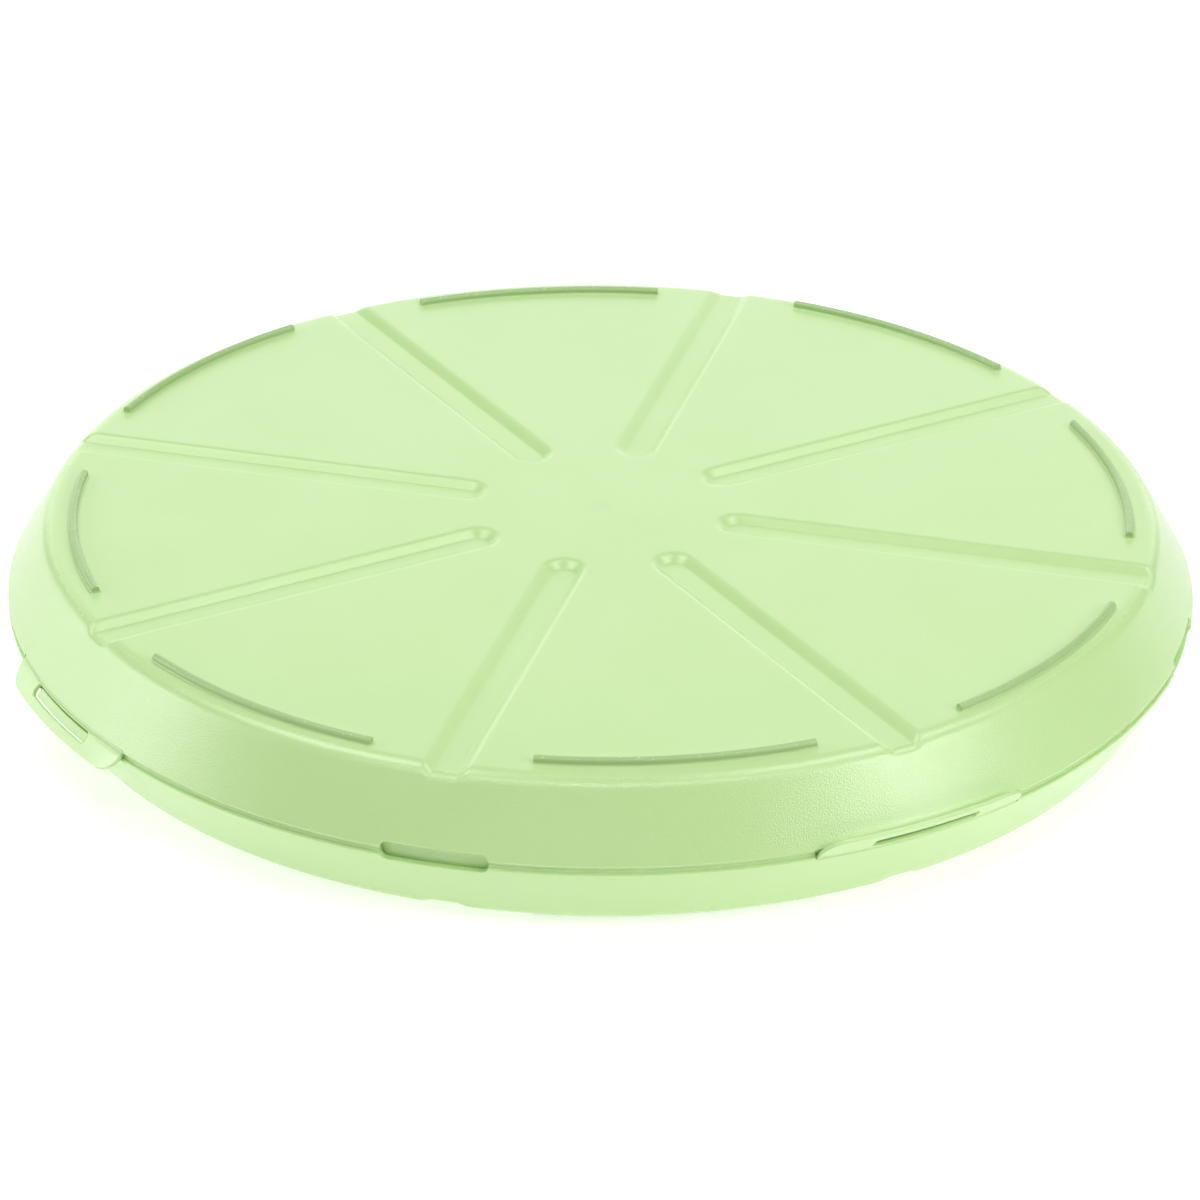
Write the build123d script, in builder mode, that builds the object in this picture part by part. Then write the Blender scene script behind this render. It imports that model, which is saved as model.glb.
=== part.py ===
# Flat round food container that snaps shut: a tray and a lid, which is the tray's twin turned over.
# Only the tray has the locating lips, which stand inside both rims and back the thumb notches.
# Each half has two flexing tabs with a slot, and two hooks that stand in the other half's slots.
# The container stands on the tray's raised arcs. Origin: middle of its footprint, +Z up. Millimetres.

import os
from math import cos, degrees, hypot, radians, sin, tan

from build123d import *

# --- Half shell ---
rim_radius = 175.0        # outer edge of the lip
half_depth = 21.8         # from the seam plane to a half's flat outer face
wall = 1.6                # thickness of floor and wall
wall_slope = 59.6         # angle of the wall above the floor, degrees
edge_radius = 5.6         # outside rounding between floor and wall

# --- Rim, where the halves meet ---
lip_gap = 0.9             # from the edge of a lip to the seam plane
lip_overhang = 1.2        # how far the lip stands out beyond the seam band
land_width = 2.0          # width of the flat ring on which the halves meet
locator_reach = 3.0       # how far the locating lips reach past the seam plane
locator_root = 5.0        # how far they run down the inside of the tray's rim
locator_width = 1.3
locator_clearance = 0.3   # between a locating lip and the lid's rim
locator_half_angle = 13.0
locator_round = 0.5

# --- Radial grooves in each outer face ---
groove_count = 8
groove_start = 35.6       # distance of a groove's rounded inner end from the middle
groove_mouth = 12.4       # width at the outer face
groove_floor = 7.0        # width at the bottom
groove_depth = 2.0
groove_mouth_round = 1.8  # rounding of a groove's edges at the outer face
groove_floor_round = 0.5  # rounding along the sides of its floor

# --- Raised arcs between the grooves, on which the container stands and stacks ---
arc_height = 2.0
arc_width = 2.3
arc_inner_radius = 153.7  # inside radius of the inner set
arc_set_gap = 0.3         # between the two sets, so that they nest when stacked
arc_half_angle = 14.3
arc_round = 0.8

# --- Thumb notches in both rims ---
notch_width = 30.5
notch_depth = 2.6         # from the seam plane into each half
notch_round = 2.2

# --- Flexing tabs ---
tab_length = 65.0         # along the rim
tab_drop = 1.9            # root of the tab, from the seam plane into its own half
tab_reach = 4.7           # free edge of the tab, from the seam plane past the other half's lip
tab_slope = 54.0          # angle of the tab above the horizontal, degrees
tab_thickness = 1.2
tab_corner = 7.0          # rounding of the two free corners
tab_end_gap = 0.3         # between an end of the tab and the lip beside it
tab_back_gap = 0.6        # behind the tab, to its own rim and to the other half's lip

# --- Slot in a tab, and the hook that stands in it ---
slot_length = 33.5
slot_margin = 1.7         # from the tab's root to the slot, up the slope
slot_width = 3.4          # up the slope
slot_round = 1.0
hook_end_gap = 1.2        # between an end of the hook and the slot's end
hook_side_gap = 0.3       # between the hook and the slot's long edges
hook_clearance = 0.2      # between the hook's tip and the strip beyond the slot, as the halves part
hook_tip = 0.4            # height of the hook's blunt tip

# --- Worked out ---
face_z = arc_height                        # the tray's flat outer face
seam_z = face_z + half_depth
lip_z = seam_z - lip_gap
slope_run = 1 / tan(radians(wall_slope))   # outward run of the wall for each mm of height
wall_across = wall / sin(radians(wall_slope))
corner_radius = rim_radius - (lip_z - face_z) * slope_run
band_radius = rim_radius - lip_overhang
land_radius = band_radius - land_width
land_foot_z = lip_z - (rim_radius - wall_across - land_radius) / slope_run
lip_outer = land_radius - locator_clearance
lip_inner = lip_outer - locator_width
outer_arc_radius = arc_inner_radius + arc_width + arc_set_gap
pitch = 360 / groove_count

groove_run = (groove_mouth - groove_floor) / 2
groove_spread = wall * (hypot(groove_run, groove_depth) - groove_run) / groove_depth
groove_centre = groove_start + groove_mouth / 2

tab_root_z = seam_z - tab_drop
tab_root_radius = rim_radius - (lip_z - tab_root_z) * slope_run
tab_span = (tab_drop + tab_reach) / sin(radians(tab_slope))
tab_angle = degrees(tab_length / rim_radius)
pocket_angle = tab_angle + 2 * degrees(tab_end_gap / rim_radius)
slot_angle = degrees(slot_length / rim_radius)
hook_angle = slot_angle - 2 * degrees(hook_end_gap / rim_radius)

beyond = rim_radius + 20                   # clear of everything, for the cutting forms
graze = 0.03                               # keeps a cutting form just off a face it runs along


def tab_point(up, inward):
    """Radius and height in the tray's tab: up the slope from its root, inward from its outer face."""
    slope = radians(tab_slope)
    radius = tab_root_radius + up * cos(slope) - inward * sin(slope)
    return radius, tab_root_z + up * sin(slope) + inward * cos(slope)


def lid_tab_point(up, inward):
    """The same place in the lid's tab, which points down."""
    radius, height = tab_point(up, inward)
    return radius, 2 * seam_z - height


def swept(points, azimuth, span, rounding=0.0, rounded=()):
    """A section of (radius, height) points turned about the middle, centred on azimuth."""
    start = radians(azimuth - span / 2)
    section_plane = Plane(origin=(0, 0, 0), x_dir=(cos(start), sin(start), 0),
                          z_dir=(sin(start), -cos(start), 0))
    with BuildPart() as body:
        with BuildSketch(section_plane) as section:
            with BuildLine():
                Polyline(*points, close=True)
            make_face()
            if rounding:
                corners = [section.vertices().sort_by_distance(points[index])[0] for index in rounded]
                fillet(corners, radius=rounding)
        revolve(axis=Axis.Z, revolution_arc=span)
    return body.part


def groove_form(rise):
    """Form of one groove along +X: at rise 0 its outside, at rise wall the ridge it makes inside."""
    mouth_z = face_z + rise - graze
    floor_half = groove_floor / 2 + (groove_spread if rise else 0)
    mouth_half = floor_half + groove_run * (1 + graze / groove_depth)
    flange_half = mouth_half + 2 * groove_mouth_round
    end_plane = Plane(origin=(groove_centre, 0, 0), x_dir=(0, 1, 0), z_dir=(1, 0, 0))
    outline = [
        (0, mouth_z - 1),
        (flange_half, mouth_z - 1),
        (flange_half, mouth_z),
        (mouth_half, mouth_z),
        (floor_half, face_z + rise + groove_depth),
        (0, face_z + rise + groove_depth),
    ]
    with BuildPart() as form:
        with BuildSketch(end_plane) as half:
            with BuildLine():
                Polyline(*outline, close=True)
            make_face()
            for index, rounding in ((3, groove_mouth_round), (4, groove_floor_round)):
                fillet(half.vertices().sort_by_distance(outline[index])[0], radius=rounding)
        extrude(amount=beyond - groove_centre)
        mirror(about=Plane.XZ)
        revolve(half.sketch, axis=Axis((groove_centre, 0, 0), (0, 0, 1)), revolution_arc=180)
    return form.part


# --- Forms shared by both halves, as the tray has them ---

groove_cut = groove_form(0)
groove_ridge = groove_form(wall)

with BuildPart() as notch_cut:
    # One thumb notch of the whole container along +X, halved by the seam plane, as deep as the locating lip.
    notch_plane = Plane(origin=(land_radius - 2 * land_width, 0, seam_z), x_dir=(0, 1, 0), z_dir=(1, 0, 0))
    with BuildSketch(notch_plane):
        RectangleRounded(notch_width, 2 * notch_depth, notch_round)
    extrude(amount=beyond - land_radius)
    add(swept([(0, 0), (lip_outer, 0), (lip_outer, 2 * seam_z), (0, 2 * seam_z)], 0, 360), mode=Mode.SUBTRACT)

with BuildPart() as hollow:
    # Inside of the tray, with the ridges that the grooves make standing up from its floor.
    inner_corner = corner_radius + wall * slope_run - wall_across
    add(swept([(0, face_z + wall), (inner_corner, face_z + wall), (land_radius, land_foot_z),
               (land_radius, seam_z + 1), (0, seam_z + 1)], 0, 360, edge_radius - wall, (1,)))
    with PolarLocations(0, groove_count):
        add(groove_ridge, mode=Mode.SUBTRACT)

# --- Half shell, the same for both halves ---

with BuildPart() as half_shell:
    # Outside of floor, wall and rim.
    add(swept([(0, face_z), (corner_radius, face_z), (rim_radius, lip_z), (band_radius, lip_z),
               (band_radius, seam_z), (0, seam_z)], 0, 360, edge_radius, (1,)))
    with PolarLocations(0, groove_count):
        add(groove_cut, mode=Mode.SUBTRACT)
    add(hollow.part, mode=Mode.SUBTRACT)

    # Raised arcs, the inner and the outer set by turns.
    for index in range(groove_count):
        inner = arc_inner_radius if index % 2 == 0 else outer_arc_radius
        outer = inner + arc_width
        add(swept([(inner, 0), (outer, 0), (outer, face_z + wall / 2), (inner, face_z + wall / 2)],
                  pitch * (index + 0.5), 2 * arc_half_angle, arc_round, (0, 1)))

    with PolarLocations(0, 4, start_angle=pitch):
        add(notch_cut.part, mode=Mode.SUBTRACT)

    # Pockets for the tray's own tabs: the lip makes way, and the rim behind stands back.
    root_outer = tab_point(0, 0)
    root_inner = tab_point(0, tab_thickness)
    for azimuth in (90, 270):
        add(swept([root_outer, root_inner, (root_inner[0] - tab_back_gap, root_inner[1]),
                   (root_inner[0] - tab_back_gap, seam_z + 1), (beyond, seam_z + 1), (beyond, root_outer[1])],
                  azimuth, pocket_angle), mode=Mode.SUBTRACT)

    # Relief behind the lid's tabs, and the hooks that stand in their slots.
    far_edge = lid_tab_point(slot_margin + slot_width, tab_thickness)
    near_edge = lid_tab_point(slot_margin, tab_thickness)
    hook_radius = far_edge[0] - hook_clearance
    catch_z = far_edge[1] + hook_side_gap
    hook_root = band_radius - land_width / 2
    for azimuth in (0, 180):
        relief_top = lid_tab_point(0, tab_thickness + tab_back_gap)
        relief_foot = lid_tab_point(tab_span + 1, tab_thickness + tab_back_gap)
        add(swept([relief_top, (beyond, relief_top[1]), (beyond, relief_foot[1]), relief_foot],
                  azimuth, pocket_angle), mode=Mode.SUBTRACT)
        add(swept([(hook_root, catch_z), (hook_radius, catch_z), (hook_radius, catch_z + hook_tip),
                   (near_edge[0] + hook_side_gap, near_edge[1] - hook_side_gap),
                   (hook_root, near_edge[1] - hook_side_gap)],
                  azimuth, hook_angle))

# --- Tray: a half shell with its locating lips ---

with BuildPart() as tray_shell:
    add(half_shell.part)
    lip_fill = land_radius + land_width / 4       # the lips run into the rim beside the notches
    for quarter in range(4):
        add(swept([(lip_inner, seam_z - locator_root), (lip_fill, land_foot_z),
                   (lip_fill, seam_z - locator_width / 2),
                   (lip_outer, seam_z - locator_width / 2), (lip_outer, seam_z + locator_reach),
                   (lip_inner, seam_z + locator_reach)],
                  90 * quarter + pitch, 2 * locator_half_angle, locator_round, (4,)))
    with PolarLocations(0, 4, start_angle=pitch):
        add(notch_cut.part, mode=Mode.SUBTRACT)

tray_shell.part.label = "tray_shell"

# --- Tray tabs: one tab is made at the front, and turned half round for the back ---

with BuildPart() as tray_tab_front:
    add(swept([tab_point(0, 0), tab_point(tab_span, 0), tab_point(tab_span, tab_thickness),
               tab_point(0, tab_thickness)], 270, tab_angle))
    through_edges = tray_tab_front.edges().filter_by(lambda edge: abs(edge.length - tab_thickness) < 0.01)
    free_corners = through_edges.sort_by(Axis.Z)[-2:]
    fillet(free_corners, radius=tab_corner)
    slot_edge = slot_margin + slot_width
    add(swept([tab_point(slot_margin, -1), tab_point(slot_edge, -1), tab_point(slot_edge, tab_thickness + 1),
               tab_point(slot_margin, tab_thickness + 1)], 270, slot_angle), mode=Mode.SUBTRACT)
    slot_corners = tray_tab_front.edges().filter_by(
        lambda edge: abs(edge.length - tab_thickness) < 0.01 and abs(edge.center().X) < slot_length / 2 + 0.1)
    fillet(slot_corners, radius=slot_round)

tray_tab_front.part.label = "tray_tab_front"

with BuildPart() as tray_tab_back:
    add(tray_tab_front.part.rotate(Axis.Z, 180))

tray_tab_back.part.label = "tray_tab_back"

# --- Lid: the same mouldings turned over about a line through two thumb notches ---

turn_line = Axis((0, 0, seam_z), (cos(radians(pitch)), sin(radians(pitch)), 0))

with BuildPart() as lid_shell:
    add(half_shell.part.rotate(turn_line, 180))

lid_shell.part.label = "lid_shell"

with BuildPart() as lid_tab_left:
    add(tray_tab_front.part.rotate(turn_line, 180))

lid_tab_left.part.label = "lid_tab_left"

with BuildPart() as lid_tab_right:
    add(tray_tab_back.part.rotate(turn_line, 180))

lid_tab_right.part.label = "lid_tab_right"

# --- Files: one for each piece ---

os.makedirs("parts", exist_ok=True)
for piece in (tray_shell, tray_tab_front, tray_tab_back, lid_shell, lid_tab_left, lid_tab_right):
    export_step(piece.part, f"parts/{piece.part.label}.step")
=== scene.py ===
from math import asin, atan2, cos, degrees, hypot, pi, radians, sin, tan

import bmesh
import bpy
import numpy as np
from mathutils import Matrix, Vector


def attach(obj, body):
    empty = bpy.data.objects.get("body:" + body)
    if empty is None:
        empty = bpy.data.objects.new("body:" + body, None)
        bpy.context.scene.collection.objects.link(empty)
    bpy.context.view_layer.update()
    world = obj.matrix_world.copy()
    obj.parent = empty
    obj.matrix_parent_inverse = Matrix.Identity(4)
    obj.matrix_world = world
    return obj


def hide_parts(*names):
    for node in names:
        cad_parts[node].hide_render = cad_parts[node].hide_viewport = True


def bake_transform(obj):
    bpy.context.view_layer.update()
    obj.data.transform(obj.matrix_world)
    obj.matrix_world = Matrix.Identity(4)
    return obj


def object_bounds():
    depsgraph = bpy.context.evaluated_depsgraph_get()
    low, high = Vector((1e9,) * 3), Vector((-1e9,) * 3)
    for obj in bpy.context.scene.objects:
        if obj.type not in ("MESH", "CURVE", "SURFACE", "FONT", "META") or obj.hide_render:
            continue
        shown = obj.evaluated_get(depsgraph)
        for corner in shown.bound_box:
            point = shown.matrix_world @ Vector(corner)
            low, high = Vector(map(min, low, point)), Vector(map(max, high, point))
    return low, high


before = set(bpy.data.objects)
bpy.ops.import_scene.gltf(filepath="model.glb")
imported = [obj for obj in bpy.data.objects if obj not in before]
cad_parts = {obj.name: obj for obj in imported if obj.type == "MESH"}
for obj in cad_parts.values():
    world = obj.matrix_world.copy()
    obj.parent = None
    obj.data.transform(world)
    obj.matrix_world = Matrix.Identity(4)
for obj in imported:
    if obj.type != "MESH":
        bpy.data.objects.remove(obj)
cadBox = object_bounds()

print("frame loaded")

mm = 0.001
seamHeight = (cadBox[0][2] + cadBox[1][2]) / 2 / mm    # the halves meet half way up


def roundedPath(corners):
    # a rounded path through corners of (x, y, rounding, number of points on that corner)
    path = []
    for index, (x, y, rounding, steps) in enumerate(corners):
        here = np.array((x, y), float)
        if not rounding:
            path.extend([here] * steps)
            continue
        back = np.array(corners[index - 1][:2]) - here
        ahead = np.array(corners[(index + 1) % len(corners)][:2]) - here
        back /= np.linalg.norm(back)
        ahead /= np.linalg.norm(ahead)
        half = np.arccos(np.clip(back @ ahead, -1, 1)) / 2
        middle = back + ahead
        centre = here + middle / np.linalg.norm(middle) * rounding / sin(half)
        first = here + back * rounding / tan(half) - centre
        last = here + ahead * rounding / tan(half) - centre
        start = atan2(first[1], first[0])
        turn = (atan2(last[1], last[0]) - start + pi) % (2 * pi) - pi
        for step in range(steps):
            angle = start + turn * step / (steps - 1)
            path.append(centre + rounding * np.array((cos(angle), sin(angle))))
    return np.array(path)


# the half shells, worked out as the tray has them, in mm
shell = {
    "rimRadius": 175.0,
    "faceHeight": 2.0,
    "wall": 1.6,
    "wallSlope": 59.6,
    "edgeRounding": 5.6,
    "grooveEndRounding": 3.2,      # where a groove runs out over the edge
    "lipGap": 0.9,
    "lipOverhang": 1.2,
    "landWidth": 2.0,
    "lipRounding": 0.45,
    "grooveStart": 35.6,
    "grooveMouth": 12.4,
    "grooveFloor": 7.0,
    "grooveDepth": 2.0,
    "grooveMouthRounding": 3.2,
    "grooveFloorRounding": 0.3,
    "grooveReach": 9.4,            # half width of the strip of columns along a groove
    "notchWidth": 30.5,
    "notchDepth": 2.6,
    "notchRounding": 2.2,
    "notchEdge": 0.28,
    "pocketHalf": 32.8,
    "sectorHalf": 22.5,
}
slope = tan(radians(shell["wallSlope"]))
lipHeight = seamHeight - shell["lipGap"]
cornerRadius = shell["rimRadius"] - (lipHeight - shell["faceHeight"]) / slope
wallAcross = shell["wall"] / sin(radians(shell["wallSlope"]))
innerCorner = cornerRadius + shell["wall"] / slope - wallAcross
bandRadius = shell["rimRadius"] - shell["lipOverhang"]
landRadius = bandRadius - shell["landWidth"]


def turned(profile, turn):
    # a section of (radius, height) points, set upright at one or more angles round the middle
    radius = profile[:, 0]
    return np.stack((radius * np.cos(turn), radius * np.sin(turn), profile[:, 1]), 1)


def coneRadius(height):
    return shell["rimRadius"] - (lipHeight - height) / slope


def grooveProfile():
    # depth of a groove against the distance from its middle line
    floorHalf, mouthHalf = shell["grooveFloor"] / 2, shell["grooveMouth"] / 2
    path = roundedPath([(0, shell["grooveDepth"], 0, 1),
                        (floorHalf, shell["grooveDepth"], shell["grooveFloorRounding"], 9),
                        (mouthHalf, 0, shell["grooveMouthRounding"], 17),
                        (60, 0, 0, 1)])
    return path[:, 0], path[:, 1]


def wallHeight(radius, lift, corner, base, rounding):
    # height of a face that runs level, then turns up into the wall with a rounding
    cornerHere = corner + lift / slope
    tangent = rounding * tan(radians(shell["wallSlope"] / 2))
    level = base + lift
    start = cornerHere - tangent
    over = np.clip(radius - start, 0, rounding * sin(radians(shell["wallSlope"])))
    onArc = level + rounding - np.sqrt(rounding ** 2 - over ** 2)
    onCone = level + (radius - cornerHere) * slope
    past = radius > start + rounding * sin(radians(shell["wallSlope"]))
    return np.where(past, onCone, onArc)


# steps in the rim, as radii and drops from the seam: a pocket for the other half's tab,
# and a relief round this half's own
rimSteps = {
    "footDrop": 3.4,
    "innerDrop": 3,
    "pocketOuter": 174.413,
    "pocketOuterDrop": 1.9,
    "pocketMiddle": 173.442,
    "pocketInner": 172.842,
    "pocketDrop": 1.195,
    "reliefOuter": 174.65,
    "reliefOuterDrop": 1.494,
    "reliefShoulder": 174.22,
    "reliefInner": 173.567,
    "reliefDrop": 0.322,
    "notchRows": (173.4, 173.0, 172.6),    # across the floor of a thumb notch
    "notchEase": 0.5,
}


def rimSection(kind, height=0.0):
    # the same number of points for every kind, from the outside wall over the rim to the inside wall
    innerEdge = (landRadius, seamHeight, 0.2, 4)
    innerFoot = (landRadius, seamHeight - rimSteps["innerDrop"], 0, 1)
    footHeight = seamHeight - rimSteps["footDrop"]
    foot = (coneRadius(footHeight), footHeight, 0, 1)
    if kind == "plain":
        return roundedPath([foot,
                            (shell["rimRadius"], lipHeight, shell["lipRounding"], 4),
                            (bandRadius, lipHeight, 0.12, 4),
                            (bandRadius, seamHeight, 0.15, 4),
                            ((bandRadius + landRadius) / 2, seamHeight, 0, 1),
                            innerEdge, innerFoot])[1:-1]
    if kind == "pocket":
        floor = seamHeight - rimSteps["pocketDrop"]
        return roundedPath([foot,
                            (rimSteps["pocketOuter"], seamHeight - rimSteps["pocketOuterDrop"], 0.08, 3),
                            (rimSteps["pocketMiddle"], floor, 0.08, 3),
                            (rimSteps["pocketInner"], floor, 0.12, 3),
                            (rimSteps["pocketInner"], seamHeight, 0.15, 4),
                            innerEdge, innerFoot])[1:-1]
    if kind == "relief":
        return roundedPath([foot,
                            (rimSteps["reliefOuter"], seamHeight - rimSteps["reliefOuterDrop"], 0.1, 3),
                            (rimSteps["reliefShoulder"], lipHeight, 0.05, 2),
                            (bandRadius, lipHeight, 0.1, 2),
                            (bandRadius, seamHeight - rimSteps["reliefDrop"], 0.1, 3),
                            (rimSteps["reliefInner"], seamHeight, 0.1, 3),
                            innerEdge, innerFoot])[1:-1]
    # a thumb notch cuts the rim off at the given height
    plain = rimSection("plain")
    outermost = coneRadius(height) if height < lipHeight else bandRadius
    above = plain[:, 1] > height
    cut = plain.copy()
    cut[above, 1] = height
    cut[above, 0] = np.clip(plain[above, 0], landRadius, outermost)
    edge = shell["notchEdge"]
    clean = roundedPath([(coneRadius(height - 2), height - 2, 0, 1),
                         (coneRadius(height), height, edge, 6)]
                        + [(row, height, 0, 1) for row in rimSteps["notchRows"]]
                        + [(landRadius, height, edge, 8),
                           (landRadius, height - 2, 0, 1)])[1:-1]
    ease = np.clip((lipHeight - height) / rimSteps["notchEase"], 0, 1)
    return cut * (1 - ease) + clean * ease


def halfSector(kind):
    # offsets along the rim from a groove's middle line, each with the rim's section there
    offsets = [0, 0.8, 1.6, 2.4, 3.0, 3.3, 3.6, 3.9, 4.5, 5.1, 5.55, 5.9, 6.25, 6.6, 6.95, 7.4, 8.3,
               shell["grooveReach"]]
    offsets += list(np.linspace(shell["grooveReach"], 68.3, 16)[1:])
    plain = rimSection("plain")
    if kind == "notch":
        corner = shell["notchWidth"] / 2 - shell["notchRounding"]
        side = seamHeight - shell["notchDepth"] + shell["notchRounding"]
        floor = rimSection("notch", seamHeight - shell["notchDepth"])
        columns = [(offset, floor, False) for offset in offsets if offset < corner - 0.2]
        for angle in np.linspace(0, pi / 2, 9):
            height = side - shell["notchRounding"] * cos(angle)
            offset = corner + shell["notchRounding"] * sin(angle)
            columns.append((offset, rimSection("notch", height), False))
        edge = shell["notchWidth"] / 2
    else:
        edge = shell["pocketHalf"]
        section = rimSection(kind)
        columns = [(offset, section, False) for offset in offsets if offset < edge - 0.8]
        columns.append((edge, section, False))
    columns.append((edge, plain, True))
    columns += [(offset, plain, False) for offset in offsets if offset > edge + 0.8]
    return columns


# radii at which the face, its edge, the wall and the inside have their rings of points
faceStations = np.array([16, 31, 34.4, 35.4, 36.2, 37, 37.8, 38.6, 39.4, 40.2, 41, 42, 43.5, 46, 54,
                         75, 100, 125, 145, 154, 157.5, 159.4])
edgeStations = np.array([160.0, 160.6, 161.2, 161.8, 162.4, 162.9, 163.4, 163.9, 164.4, 165.0])
coneStations = np.array([166.5, 168.5, 170.5, 172.2, 173.1])
innerStations = np.array([171.79, 170.4, 168.4, 166.4, 164.6, 163.9, 163.3, 162.7, 162.1, 161.5, 160.8,
                          160.0, 159.2, 157.0, 145, 110, 75, 54, 46, 43.5, 42, 41, 40, 39, 38, 37, 36,
                          35, 33.6, 31, 16])


def shellMesh():
    depthAt, depths = grooveProfile()
    outerRadii = np.concatenate((faceStations, edgeStations, coneStations))
    mouthHalf = shell["grooveMouth"] / 2
    grooveCentre = shell["grooveStart"] + mouthHalf
    run = (shell["grooveMouth"] - shell["grooveFloor"]) / 2
    spread = shell["wall"] * (hypot(run, shell["grooveDepth"]) - run) / shell["grooveDepth"]
    reach, sectorHalf = shell["grooveReach"], radians(shell["sectorHalf"])
    kinds = ("relief", "notch", "pocket", "notch") * 2
    columns = []
    for sector, kind in enumerate(kinds):
        half = halfSector(kind)
        axis = radians(45 * sector)
        # the joined column between two sectors is made once, and a doubled column keeps its cap mark
        for index in range(len(half) - 2, 0, -1):
            offset, section, _ = half[index]
            columns.append((axis, -1, offset, section, half[index + 1][2]))
        for index, (offset, section, capped) in enumerate(half):
            columns.append((axis, 1, offset, section, capped))

    def sideAngle(offset, radius):
        # angle from the groove's middle line: strips stay parallel near it and fan out beyond
        radius = np.maximum(radius, 31.0)
        near = np.arcsin(np.minimum(offset, reach) / radius)
        if offset <= reach:
            return near
        atRim = asin(reach / bandRadius)
        share = (offset / bandRadius - atRim) / (sectorHalf - atRim)
        return near + min(share, 1) * (sectorHalf - near)

    points, caps = [], []
    for axis, side, offset, section, capped in columns:
        angles = sideAngle(offset, outerRadii)
        across, along = outerRadii * np.sin(angles), outerRadii * np.cos(angles)
        distance = np.where(along > grooveCentre, across, np.hypot(along - grooveCentre, across))
        lift = np.interp(distance, depthAt, depths)
        rounding = shell["edgeRounding"] + (shell["grooveEndRounding"] - shell["edgeRounding"]) * (
            lift / shell["grooveDepth"])
        outerHeights = wallHeight(outerRadii, lift, cornerRadius, shell["faceHeight"], rounding)
        outer = np.stack((outerRadii, outerHeights), 1)
        angles = sideAngle(offset, innerStations)
        across, along = innerStations * np.sin(angles), innerStations * np.cos(angles)
        distance = np.where(along > grooveCentre, across, np.hypot(along - grooveCentre, across))
        lift = np.interp(distance - spread, depthAt, depths)
        rounding = shell["edgeRounding"] - shell["wall"] + (
            shell["grooveEndRounding"] - shell["edgeRounding"]) * lift / shell["grooveDepth"]
        innerHeights = wallHeight(innerStations, lift, innerCorner,
                                  shell["faceHeight"] + shell["wall"], rounding)
        inner = np.stack((innerStations, innerHeights), 1)
        profile = np.concatenate((outer, section, inner))
        points.append(turned(profile, axis + side * sideAngle(offset, profile[:, 0])))
        caps.append(capped)
    points = np.array(points)
    count, height = points.shape[:2]
    rimStart = len(outerRadii)
    rimEnd = rimStart + len(rimSection("plain"))
    faces = []
    for column in range(count):
        after = (column + 1) % count
        here, there = column * height, after * height
        if caps[after]:
            # a step in the rim: the face across it, in as many pieces as the two sections part
            apart = np.linalg.norm(points[column] - points[after], axis=1) > 1e-4
            station = rimStart
            while station < rimEnd:
                if not apart[station]:
                    station += 1
                    continue
                last = station
                while apart[last + 1]:
                    last += 1
                faces.append([here + row for row in range(station - 1, last + 2)]
                             + [there + row for row in range(last, station - 1, -1)])
                station = last + 1
            continue
        for row in range(height - 1):
            faces.append([here + row, there + row, there + row + 1, here + row + 1])
    points = points.reshape(-1, 3)
    centre = len(points)
    points = np.concatenate((points, [(0, 0, shell["faceHeight"]),
                                      (0, 0, shell["faceHeight"] + shell["wall"])]))
    for column in range(count):
        after = (column + 1) % count
        faces.append([centre, after * height, column * height])
        faces.append([centre + 1, column * height + height - 1, after * height + height - 1])
    return points, faces


def barMesh(section, azimuth, halfAngle, steps, rounding):
    # a closed section swept round the middle, with softened ends
    following = np.roll(section, -1, 0)
    ahead = following - section
    normals = np.stack((ahead[:, 1], -ahead[:, 0]), 1)
    normals /= np.linalg.norm(normals, axis=1)[:, None]
    normals = normals + np.roll(normals, 1, 0)
    normals /= np.linalg.norm(normals, axis=1)[:, None]
    area = np.sum(section[:, 0] * following[:, 1] - following[:, 0] * section[:, 1])
    inward = -normals if area > 0 else normals
    radius = section[:, 0].mean()
    rings = [(-radians(halfAngle) + rounding * (1 - cos(angle)) / radius,
              rounding * (1 - sin(angle))) for angle in (0, pi / 6, pi / 3, pi / 2)]
    first = rings[-1][0]
    middle = [(angle, 0.0) for angle in np.linspace(first, -first, steps)[1:-1]]
    rings = rings + middle + [(-angle, inset) for angle, inset in rings[::-1]]
    points = []
    for angle, inset in rings:
        points.append(turned(section + inward * inset, radians(azimuth) + angle))
    size = len(section)
    faces = [list(range(size)), [(len(rings) - 1) * size + row for row in range(size)][::-1]]
    for ring in range(len(rings) - 1):
        for row in range(size):
            nextRow = (row + 1) % size
            faces.append([ring * size + row, (ring + 1) * size + row,
                          (ring + 1) * size + nextRow, ring * size + nextRow])
    return np.concatenate(points), faces


# raised arcs and hooks on each half, as the tray has them, and the tray's own locating lips
bars = {
    "arcInner": 153.7,
    "arcWidth": 2.4,
    "arcSetGap": 0.2,
    "arcHalfAngle": 14.3,
    "arcRounding": 1.1,
    "arcFoot": 0.45,         # soft run-out onto the face
    "arcSteps": 30,
    "hookHalf": 15.55,       # mm along the rim
    "hookRoot": 172.8,
    "hookShoulder": 174.741,
    "hookTip": 176.24,
    "hookBottom": 21.169,
    "hookTipTop": 21.569,
    "hookTop": 23.32,
    "hookSteps": 14,
    "locatorHalfAngle": 13.0,
    "locatorReach": 3.0,     # past the seam, behind the thumb notches
    "locatorRoot": 5.0,
    "locatorClearance": 0.3,
    "locatorWidth": 1.3,
    "endRounding": 0.2,
}


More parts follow.
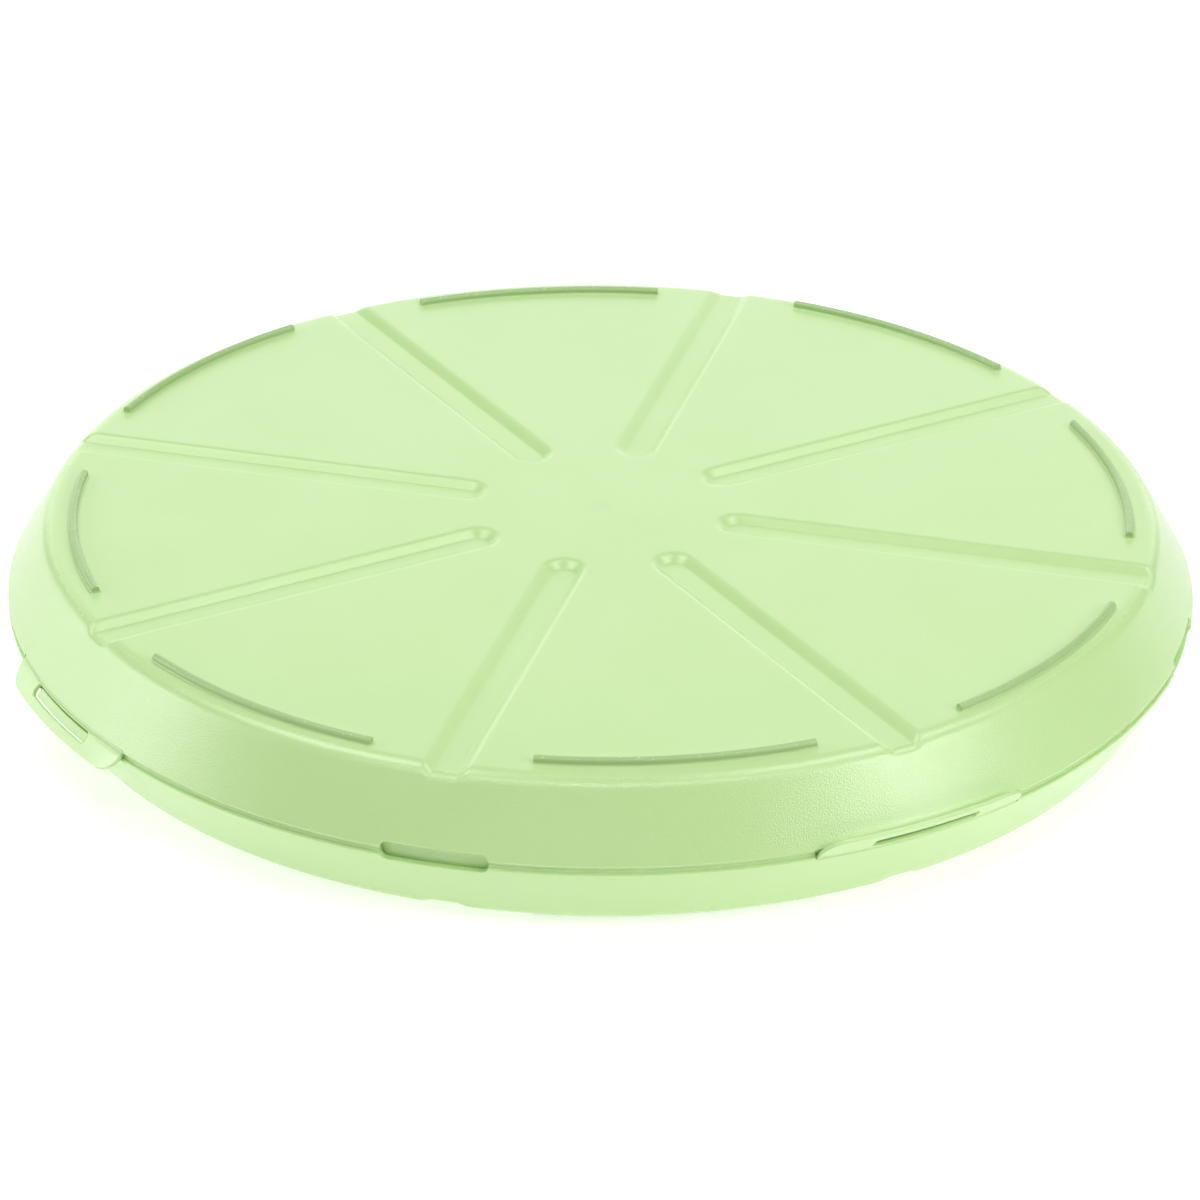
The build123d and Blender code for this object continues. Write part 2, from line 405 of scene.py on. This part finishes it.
def arcSection(inner):
    foot, rounding = bars["arcFoot"], bars["arcRounding"]
    outer = inner + bars["arcWidth"]
    under = shell["faceHeight"] + 0.012
    return roundedPath([(inner - foot - 0.2, under + 0.3, 0, 1),
                        (inner - foot - 0.15, under, 0, 1),
                        (inner, under, foot, 5),
                        (inner, 0, rounding, 6),
                        (outer, 0, rounding, 6),
                        (outer, under, foot, 5),
                        (outer + foot + 0.15, under, 0, 1),
                        (outer + foot + 0.2, under + 0.3, 0, 1)])


def shellBars():
    outerSet = bars["arcInner"] + bars["arcWidth"] + bars["arcSetGap"]
    for index in range(8):
        inner = bars["arcInner"] if index % 2 == 0 else outerSet
        azimuth = shell["sectorHalf"] * (1 + 2 * index)
        yield barMesh(arcSection(inner), azimuth, bars["arcHalfAngle"], bars["arcSteps"],
                      bars["endRounding"])
    hook = roundedPath([(bars["hookRoot"], bars["hookBottom"], 0, 1),
                        (bars["hookTip"], bars["hookBottom"], 0.12, 4),
                        (bars["hookTip"], bars["hookTipTop"], 0.12, 4),
                        (bars["hookShoulder"], bars["hookTop"], 0.2, 4),
                        (bars["hookRoot"], bars["hookTop"], 0, 1)])
    for azimuth in (0, 180):
        yield barMesh(hook, azimuth, degrees(bars["hookHalf"] / shell["rimRadius"]), bars["hookSteps"],
                      bars["endRounding"])


def locatorBars():
    # lips inside the tray's rim, which back the notches and run into the rim beside them
    top = seamHeight + bars["locatorReach"]
    outside = landRadius - bars["locatorClearance"]
    inside = outside - bars["locatorWidth"]
    foot = seamHeight - bars["locatorRoot"]
    lip = roundedPath([(inside, foot, 0, 1),
                       (landRadius + 0.2, seamHeight - 3.3, 0, 1),
                       (landRadius + 0.2, seamHeight - 2.9, 0, 1),
                       (outside, seamHeight - 2.9, 0, 1),
                       (outside, top, 0.3, 4),
                       (inside, top, 0.5, 5)])
    fill = roundedPath([(outside - 0.1, seamHeight - 3, 0, 1),
                        (landRadius + 0.5, seamHeight - 3, 0, 1),
                        (landRadius + 0.5, seamHeight - 0.65, 0, 1),
                        (outside - 0.1, seamHeight - 0.65, 0, 1)])
    notchHalf = degrees(shell["notchWidth"] / 2 / landRadius)
    fillHalf = (bars["locatorHalfAngle"] - notchHalf) / 2 - 0.15
    for quarter in range(4):
        middle = 90 * quarter + 45
        yield barMesh(lip, middle, bars["locatorHalfAngle"], 24, 0.3)
        for side in (-1, 1):
            yield barMesh(fill, middle + side * (notchHalf + 0.15 + fillHalf), fillHalf, 8, 0.02)


def overTurned(points):
    # the lid's pieces are the tray's, turned over about the level line at 45 degrees
    return np.stack((points[:, 1], points[:, 0], 2 * seamHeight - points[:, 2]), 1)


meshing = {
    "mergeWithin": 0.000003,    # metres
    "sharpFrom": 48,
    "normalWeight": 60,
}


def makePiece(name, points, faces, material):
    mesh = bpy.data.meshes.new(name)
    mesh.from_pydata((points * mm).tolist(), [], faces)
    work = bmesh.new()
    work.from_mesh(mesh)
    bmesh.ops.remove_doubles(work, verts=work.verts, dist=meshing["mergeWithin"])
    bmesh.ops.recalc_face_normals(work, faces=work.faces)
    work.to_mesh(mesh)
    work.free()
    mesh.shade_smooth()
    mesh.set_sharp_from_angle(angle=radians(meshing["sharpFrom"]))
    mesh.materials.append(material)
    piece = bpy.data.objects.new(name, mesh)
    bpy.context.scene.collection.objects.link(piece)
    weighted = piece.modifiers.new("evenNormals", "WEIGHTED_NORMAL")
    weighted.keep_sharp = True
    weighted.weight = meshing["normalWeight"]
    return piece


# the tabs, which flex on the real box, laid out along the rim and up the slope
tab = {
    "length": 65.0,
    "drop": 1.9,
    "reach": 4.7,
    "slope": 54.0,
    "thickness": 1.2,
    "corner": 7.0,
    "slotLength": 33.5,
    "slotMargin": 1.3,
    "slotWidth": 3.8,
    "slotRounding": 1.35,
    "slotFade": 2.4,       # how far past the slot's ends the rows take to run level
    "edge": 0.25,          # rounding of every edge
    "sunk": 0.6,           # how far the root runs on inside the wall
    "valley": 0.36,        # depth of the thinned line that the tab bends along
    "valleyAt": 0.55,
    "valleyWidth": 0.5,
    "bendFrom": 0.2,       # where a bend up from the root would begin and end; these points are worked out but not used
    "bendTo": 2.6,
    "bendDepth": 0.6,
}


def tabPoint(up, inward):
    lean = radians(tab["slope"])
    radius = coneRadius(seamHeight - tab["drop"]) + up * cos(lean) - inward * sin(lean)
    return radius, seamHeight - tab["drop"] + up * sin(lean) + inward * cos(lean)


def tabMesh(azimuth):
    edge = tab["edge"]
    span = (tab["drop"] + tab["reach"]) / sin(radians(tab["slope"]))
    half, slotHalf = tab["length"] / 2 - edge, tab["slotLength"] / 2 + edge
    top, corner = span - edge, tab["corner"] - edge
    rounding = tab["slotRounding"] + edge
    low, high = tab["slotMargin"] - edge, tab["slotMargin"] + tab["slotWidth"] + edge
    # columns along the rim, closer together round the slot's ends and the corners
    offsets = [0, 3, 6, 9, 12, 14.2]
    offsets += [slotHalf - rounding + rounding * sin(angle) for angle in np.linspace(0, pi / 2, 6)]
    offsets += [slotHalf + 0.5, slotHalf + 1.1, slotHalf + 2, 21, 23.4]
    offsets += [half - corner + corner * sin(angle) for angle in np.linspace(0, pi / 2, 15)]
    offsets = np.array([-offset for offset in offsets[:0:-1]] + offsets)
    # rows up the slope: below the slot, across it and above it
    rows = [("low", share) for share in (0, 0.26, 0.36, 0.46, 0.56, 0.66, 0.76, 0.88, 1)]
    lowRows = len(rows)
    rows += [("mid", share) for share in (0.33, 0.67)]
    rows += [("high", share) for share in (0, 0.25, 0.6, 0.85, 1)]
    grid = np.zeros((len(offsets), len(rows), 2))
    for column, offset in enumerate(offsets):
        size = abs(offset)
        over = size - (half - corner)
        crown = top if over <= 0 else top - corner + (max(corner ** 2 - over ** 2, 0)) ** 0.5
        inSlot = min(max(size - (slotHalf - rounding), 0), rounding)
        pinch = rounding - (rounding ** 2 - inSlot ** 2) ** 0.5
        if size > slotHalf:
            pinch = rounding * max(0, 1 - (size - slotHalf) / tab["slotFade"]) ** 2
        squeeze = crown / top
        lower, upper = (low + pinch) * squeeze, (high - pinch) * squeeze
        for row, (band, share) in enumerate(rows):
            if band == "low":
                up = -tab["sunk"] + share * (lower + tab["sunk"])
            elif band == "mid":
                up = lower + share * (upper - lower)
            else:
                up = upper + share * (crown - upper)
            grid[column, row] = offset, up
    flat = grid.reshape(-1, 2)
    count = len(rows)
    cells = []
    for column in range(len(offsets) - 1):
        inside = abs(offsets[column] + offsets[column + 1]) / 2 < slotHalf
        for row in range(count - 1):
            if inside and lowRows - 1 <= row < lowRows + 2:
                continue
            first = column * count + row
            cells.append((first, first + count, first + count + 1, first + 1))
    # the outline of the sheet: edges used by one cell, each with the cell on its left
    used = [edgeOf for cell in cells for edgeOf in zip(cell, cell[1:] + cell[:1])]
    known = set(used)
    outline = [(start, end) for start, end in used if (end, start) not in known]
    normals = {}
    for start, end in outline:
        run = flat[end] - flat[start]
        out = np.array((run[1], -run[0])) / np.linalg.norm(run)
        for vertex in (start, end):
            normals.setdefault(vertex, []).append(out)
    layers = []
    for angle in (0, pi / 4, pi / 2):
        layers.append((edge * sin(angle), edge * (1 - cos(angle))))
    for angle in (pi / 2, pi / 4, 0):
        layers.append((edge * sin(angle), tab["thickness"] - edge * (1 - cos(angle))))
    points, faces = [], []

    def place(offset, up, inward):
        radius, height = tabPoint(up, inward)
        turn = radians(azimuth) + offset / shell["rimRadius"]
        points.append((radius * cos(turn), radius * sin(turn), height))
        return len(points) - 1

    inUse = sorted({vertex for cell in cells for vertex in cell})
    fromValley = {vertex: (flat[vertex][1] - tab["valleyAt"]) / tab["valleyWidth"] for vertex in inUse}
    dip = {vertex: tab["valley"] * np.exp(-fromValley[vertex] ** 2) for vertex in inUse}
    front = {vertex: place(*flat[vertex], dip[vertex]) for vertex in inUse}
    back = {vertex: place(*flat[vertex], tab["thickness"]) for vertex in inUse}
    rims = {}
    for vertex, outs in normals.items():
        mean = sum(outs)
        mean = mean / np.linalg.norm(mean)
        reach = 1 / max(mean @ outs[0], 0.7)
        rims[vertex] = [front[vertex]]
        for outward, inward in layers[1:-1]:
            spot = flat[vertex] + mean * outward * reach
            rims[vertex].append(place(spot[0], spot[1], max(inward, dip[vertex] + (inward > 0) * 0.02)))
        rims[vertex].append(back[vertex])
    for cell in cells:
        faces.append([front[vertex] for vertex in cell])
        faces.append([back[vertex] for vertex in cell[::-1]])
    for start, end in outline:
        for layer in range(len(layers) - 1):
            faces.append([rims[start][layer], rims[start][layer + 1],
                          rims[end][layer + 1], rims[end][layer]])
    return np.array(points), faces


# shader maths: a wrapped socket takes part in plain expressions
class Sock:
    def __init__(self, tree, socket):
        self.tree = tree
        self.socket = socket

    def maths(self, operation, first, second=None):
        node = self.tree.nodes.new("ShaderNodeMath")
        node.operation = operation
        for spot, value in enumerate((first, second)):
            if isinstance(value, Sock):
                self.tree.links.new(value.socket, node.inputs[spot])
            elif value is not None:
                node.inputs[spot].default_value = value
        return Sock(self.tree, node.outputs[0])

    def __add__(self, other):
        return self.maths("ADD", self, other)

    def __radd__(self, other):
        return self.maths("ADD", other, self)

    def __sub__(self, other):
        return self.maths("SUBTRACT", self, other)

    def __rsub__(self, other):
        return self.maths("SUBTRACT", other, self)

    def __mul__(self, other):
        return self.maths("MULTIPLY", self, other)

    def __rmul__(self, other):
        return self.maths("MULTIPLY", other, self)

    def __pow__(self, other):
        return self.maths("POWER", self, other)

    def __abs__(self):
        return self.maths("ABSOLUTE", self)


class Finish:
    def __init__(self, name):
        self.material = bpy.data.materials.new(name)
        self.material.use_nodes = True
        self.tree = self.material.node_tree
        self.tree.nodes.clear()

    def node(self, kind, settings=None, inputs=None, output=0):
        made = self.tree.nodes.new("ShaderNode" + kind)
        for key, value in (settings or {}).items():
            setattr(made, key, value)
        for key, value in (inputs or {}).items():
            self.feed(made.inputs[key], value)
        self.last = made
        if not made.outputs:
            return None
        return Sock(self.tree, made.outputs[output])

    def feed(self, socket, value):
        if isinstance(value, Sock):
            self.tree.links.new(value.socket, socket)
        else:
            socket.default_value = value

    def fade(self, value, low, high):
        return self.node("MapRange", {"interpolation_type": "SMOOTHSTEP"},
                         {"Value": value, "From Min": low, "From Max": high})

    def mix(self, factor, first, second):
        made = self.tree.nodes.new("ShaderNodeMix")
        made.data_type = "RGBA"
        # a Mix node has sockets for every type: 0 is the factor, 6, 7 and output 2 are the colours
        for key, value in ((0, factor), (6, first), (7, second)):
            self.feed(made.inputs[key], value)
        return Sock(self.tree, made.outputs[2])


# mint polypropylene: smooth satin faces, spark-eroded grain on the walls
mint = {
    "colour": (0.595, 0.835, 0.38, 1),
    "paleColour": (0.63, 0.86, 0.43, 1),
    "deepColour": (0.565, 0.80, 0.36, 1),
    "mottle": 0.22,
    "cloudSize": 45,                # mm, as the other sizes
    "waveSize": 14,
    "waveHeight": 0.01,
    "flatRoughness": 0.30,
    "wallRoughness": 0.20,
    "speckSize": 0.7,
    "speckRoughness": 0.05,
    "rubSize": 6,
    "rubRoughness": 0.03,
    "wallRadius": (160.5, 164.5),   # mm, where the grained wall begins
    "grainSize": 0.45,
    "grainHeight": 0.10,            # mm, on the lid's wall
    "trayGrain": 0.2,               # share of that on the tray's wall
    "flatGrainHeight": 0.004,
    # painted shade: the arcs' darker colour stands for the shade they show beside the face
    "arcShadeColour": (0.38, 0.57, 0.235, 1),
    "arcHeight": (22.0, 22.5),      # mm from the seam, where the arcs stand clear of the face
    "arcShadeTint": 0.85,
    "arcRoughness": 0.08,
    # painted highlight: pale flecks along the arcs' crowns
    "crownHighlightColour": (0.80, 0.93, 0.66, 1),
    "crownHighlightHeight": (23.0, 23.5),
    "crownHighlightSize": 0.9,
    "crownHighlightTint": 0.6,
    "gateColour": (0.55, 0.775, 0.355, 1),
    "gateRadius": (2.0, 5.5),
    "gateTint": 0.35,
    "gateDip": 0.03,
    "specular": 0.75,
    "subsurface": 0.18,
    "subsurfaceRadius": (1.0, 1.0, 0.7),
    "subsurfaceScale": 0.0012,
}


def mintPlastic():
    m = Finish("mintPolypropylene")
    place = m.node("TexCoord", output="Object")
    m.node("SeparateXYZ", inputs={"Vector": place})
    x, y, z = (Sock(m.tree, m.last.outputs[axis]) for axis in "XYZ")
    radius = (x * x + y * y) ** 0.5
    fromSeam = abs(z - seamHeight * mm)

    def noise(size, detail, roughness=0.55):
        return m.node("TexNoise", inputs={"Vector": place, "Scale": 1000 / size, "Detail": detail,
                                          "Roughness": roughness})

    def between(value, limits):
        return m.fade(value, limits[0] * mm, limits[1] * mm)

    onWall = between(radius, mint["wallRadius"])
    onLid = between(z, (seamHeight - 0.5, seamHeight + 0.5))
    onArc = between(fromSeam, mint["arcHeight"])
    cloud, speck = noise(mint["cloudSize"], 3, 0.5), noise(mint["speckSize"], 2, 0.6)
    grain = noise(mint["grainSize"], 2)
    tint = m.mix(m.fade(cloud, 0.35, 0.65), mint["deepColour"], mint["paleColour"])
    colour = m.mix(mint["mottle"], mint["colour"], tint)
    # the arcs: painted shade darkens their colour and rubbing dulls their finish, with a painted
    # highlight broken up along their crowns
    # painted shade: the arcs are coloured darker where they stand clear of the face
    colour = m.mix(onArc * mint["arcShadeTint"], colour, mint["arcShadeColour"])
    # painted highlight: pale flecks along the arcs' crowns, broken up by noise
    crown = between(fromSeam, mint["crownHighlightHeight"])
    crownHighlight = crown * m.fade(noise(mint["crownHighlightSize"], 3, 0.7), 0.6, 0.66)
    colour = m.mix(crownHighlight * mint["crownHighlightTint"], colour, mint["crownHighlightColour"])
    # the gate mark in the middle of each face
    gate = 1 - between(radius, mint["gateRadius"])
    colour = m.mix(gate * mint["gateTint"], colour, mint["gateColour"])
    grained = onWall * (mint["trayGrain"] + onLid * (1 - mint["trayGrain"]))
    grainHeight = mint["flatGrainHeight"] + grained * (mint["grainHeight"] - mint["flatGrainHeight"])
    wave = noise(mint["waveSize"], 2) * mint["waveHeight"]
    height = (grain * grainHeight + wave - gate * mint["gateDip"]) * mm
    bump = m.node("Bump", inputs={"Strength": 1.0, "Distance": 1.0, "Height": height})
    rubbed = m.fade(noise(mint["rubSize"], 4, 0.7), 0.5, 0.7)
    rough = (mint["flatRoughness"] + onWall * (mint["wallRoughness"] - mint["flatRoughness"])
             + (speck - 0.5) * mint["speckRoughness"] + rubbed * mint["rubRoughness"]
             + onArc * mint["arcRoughness"])
    surface = m.node("BsdfPrincipled", inputs={
        "Base Color": colour, "Roughness": rough, "Normal": bump, "IOR": 1.49,
        "Specular IOR Level": mint["specular"],
        "Subsurface Weight": mint["subsurface"], "Subsurface Radius": mint["subsurfaceRadius"],
        "Subsurface Scale": mint["subsurfaceScale"]})
    m.node("OutputMaterial", inputs={"Surface": surface})
    return m.material


mintMaterial = mintPlastic()
print("material made")


def joined(points, faces, extras):
    for more, moreFaces in extras:
        faces = faces + [[corner + len(points) for corner in face] for face in moreFaces]
        points = np.concatenate((points, more))
    return points, faces


def makeContainer():
    points, faces = joined(*shellMesh(), shellBars())
    lid = makePiece("lidShell", overTurned(points), faces, mintMaterial)
    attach(lid, "lid")
    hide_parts("lid_shell")
    points, faces = joined(points, faces, locatorBars())
    tray = makePiece("trayShell", points, faces, mintMaterial)
    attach(tray, "tray")
    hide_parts("tray_shell")
    print("shells made:", len(lid.data.polygons), "and", len(tray.data.polygons), "faces")
    for name, node, body, azimuth in (("trayTabFront", "tray_tab_front", "tray", 270),
                                      ("trayTabBack", "tray_tab_back", "tray", 90),
                                      ("lidTabLeft", "lid_tab_left", "lid", 270),
                                      ("lidTabRight", "lid_tab_right", "lid", 90)):
        points, faces = tabMesh(azimuth)
        bend = np.array([tabPoint(up, tab["bendDepth"]) for up in (tab["bendFrom"], tab["bendTo"])])
        ends = turned(bend, radians(azimuth))
        if body == "lid":
            points, ends = overTurned(points), overTurned(ends)
        piece = makePiece(name, points, faces, mintMaterial)
        start, end = (tuple(point * mm) for point in ends)
        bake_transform(piece)
        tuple(start)
        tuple(end)
        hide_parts(node)
    print("tabs made")


makeContainer()


# the studio: pale floor, soft lights, camera
studio = {
    "floorSize": 30.0,
    "floorColour": (0.6, 0.6, 0.6, 1),
    "floorGlow": 0.62,        # the table is lit from below
    "skyStrength": 0.07,
    "floorRoughness": 0.9,
    "floorSheen": 0.2,
    "lensMm": 151.74,
    "sensorMm": 36.0,
    "clip": (0.05, 50),
    "distance": 1.4995,
    "azimuth": -30.33,
    "elevation": 27.11,
    "roll": 0.544,
    "aimHeight": 0.0247,
    "aimShift": (-0.00024, -0.00905),   # right and up, in the picture's plane
}


def makeFloor():
    bpy.ops.mesh.primitive_plane_add(size=studio["floorSize"])
    floor = bpy.context.object
    floor.name = "floor"
    m = Finish("paleFloor")
    surface = m.node("BsdfPrincipled", inputs={
        "Base Color": studio["floorColour"], "Roughness": studio["floorRoughness"],
        "Specular IOR Level": studio["floorSheen"], "Emission Color": (1, 1, 1, 1),
        "Emission Strength": studio["floorGlow"]})
    m.node("OutputMaterial", inputs={"Surface": surface})
    floor.data.materials.append(m.material)


def towards(azimuth, elevation):
    a, e = radians(azimuth), radians(elevation)
    return Vector((sin(a) * cos(e), -cos(a) * cos(e), sin(e)))


def softbox(name, azimuth, elevation, distance, size, power):
    # a rectangular light that faces the object from that direction
    data = bpy.data.lights.new(name, "AREA")
    data.shape = "RECTANGLE"
    data.size, data.size_y = size
    data.energy = power
    lamp = bpy.data.objects.new(name, data)
    way = towards(azimuth, elevation)
    lamp.location = way * distance
    lamp.rotation_mode = "QUATERNION"
    lamp.rotation_quaternion = way.to_track_quat("Z", "Y")
    bpy.context.scene.collection.objects.link(lamp)


def makeCamera():
    aim = Vector((0, 0, studio["aimHeight"]))
    back = towards(studio["azimuth"], studio["elevation"])
    place = aim + back * studio["distance"]
    right = Vector((0, 0, 1)).cross(back).normalized()
    up = back.cross(right)
    turn = Matrix.Rotation(radians(studio["roll"]), 3, back)
    right, up = turn @ right, turn @ up
    target = aim + right * studio["aimShift"][0] + up * studio["aimShift"][1]
    back = (place - target).normalized()
    right = up.cross(back).normalized()
    up = back.cross(right)
    data = bpy.data.cameras.new("camera")
    data.lens, data.sensor_width = studio["lensMm"], studio["sensorMm"]
    data.clip_start, data.clip_end = studio["clip"]
    camera = bpy.data.objects.new("camera", data)
    camera.matrix_world = Matrix((right, up, back)).transposed().to_4x4()
    camera.location = place
    bpy.context.scene.collection.objects.link(camera)
    bpy.context.scene.camera = camera


# directions are counted from the camera, round to its right and up; sizes in metres, power in watts
lamps = {
    "frontTop": (0, 57, 2.0, 2.4, 0.16, 11.5),
    "leftHigh": (-105, 66, 2.0, 0.9, 0.9, 10.3),
    "rightHigh": (105, 66, 2.0, 0.9, 0.9, 9.8),
    "leftLow": (-108, 12, 2.0, 1.5, 0.8, 8.2),
    "leftMid": (-88, 19, 2.0, 0.6, 0.7, 5.2),
    "rightFront": (60, 27, 2.0, 0.8, 0.6, 11.6),
    "backLow": (180, 15, 2.4, 3.2, 1.5, 22.5),
}

makeFloor()
world = bpy.data.worlds.new("sky")
world.use_nodes = True
sky = world.node_tree.nodes["Background"]
sky.inputs["Color"].default_value = (1, 1, 1, 1)
sky.inputs["Strength"].default_value = studio["skyStrength"]
bpy.context.scene.world = world
bpy.context.scene.view_settings.view_transform = "Standard"
for name, (around, up, distance, width, height, power) in lamps.items():
    softbox(name, studio["azimuth"] + around, up, distance, (width, height), power)
makeCamera()
print("studio made")
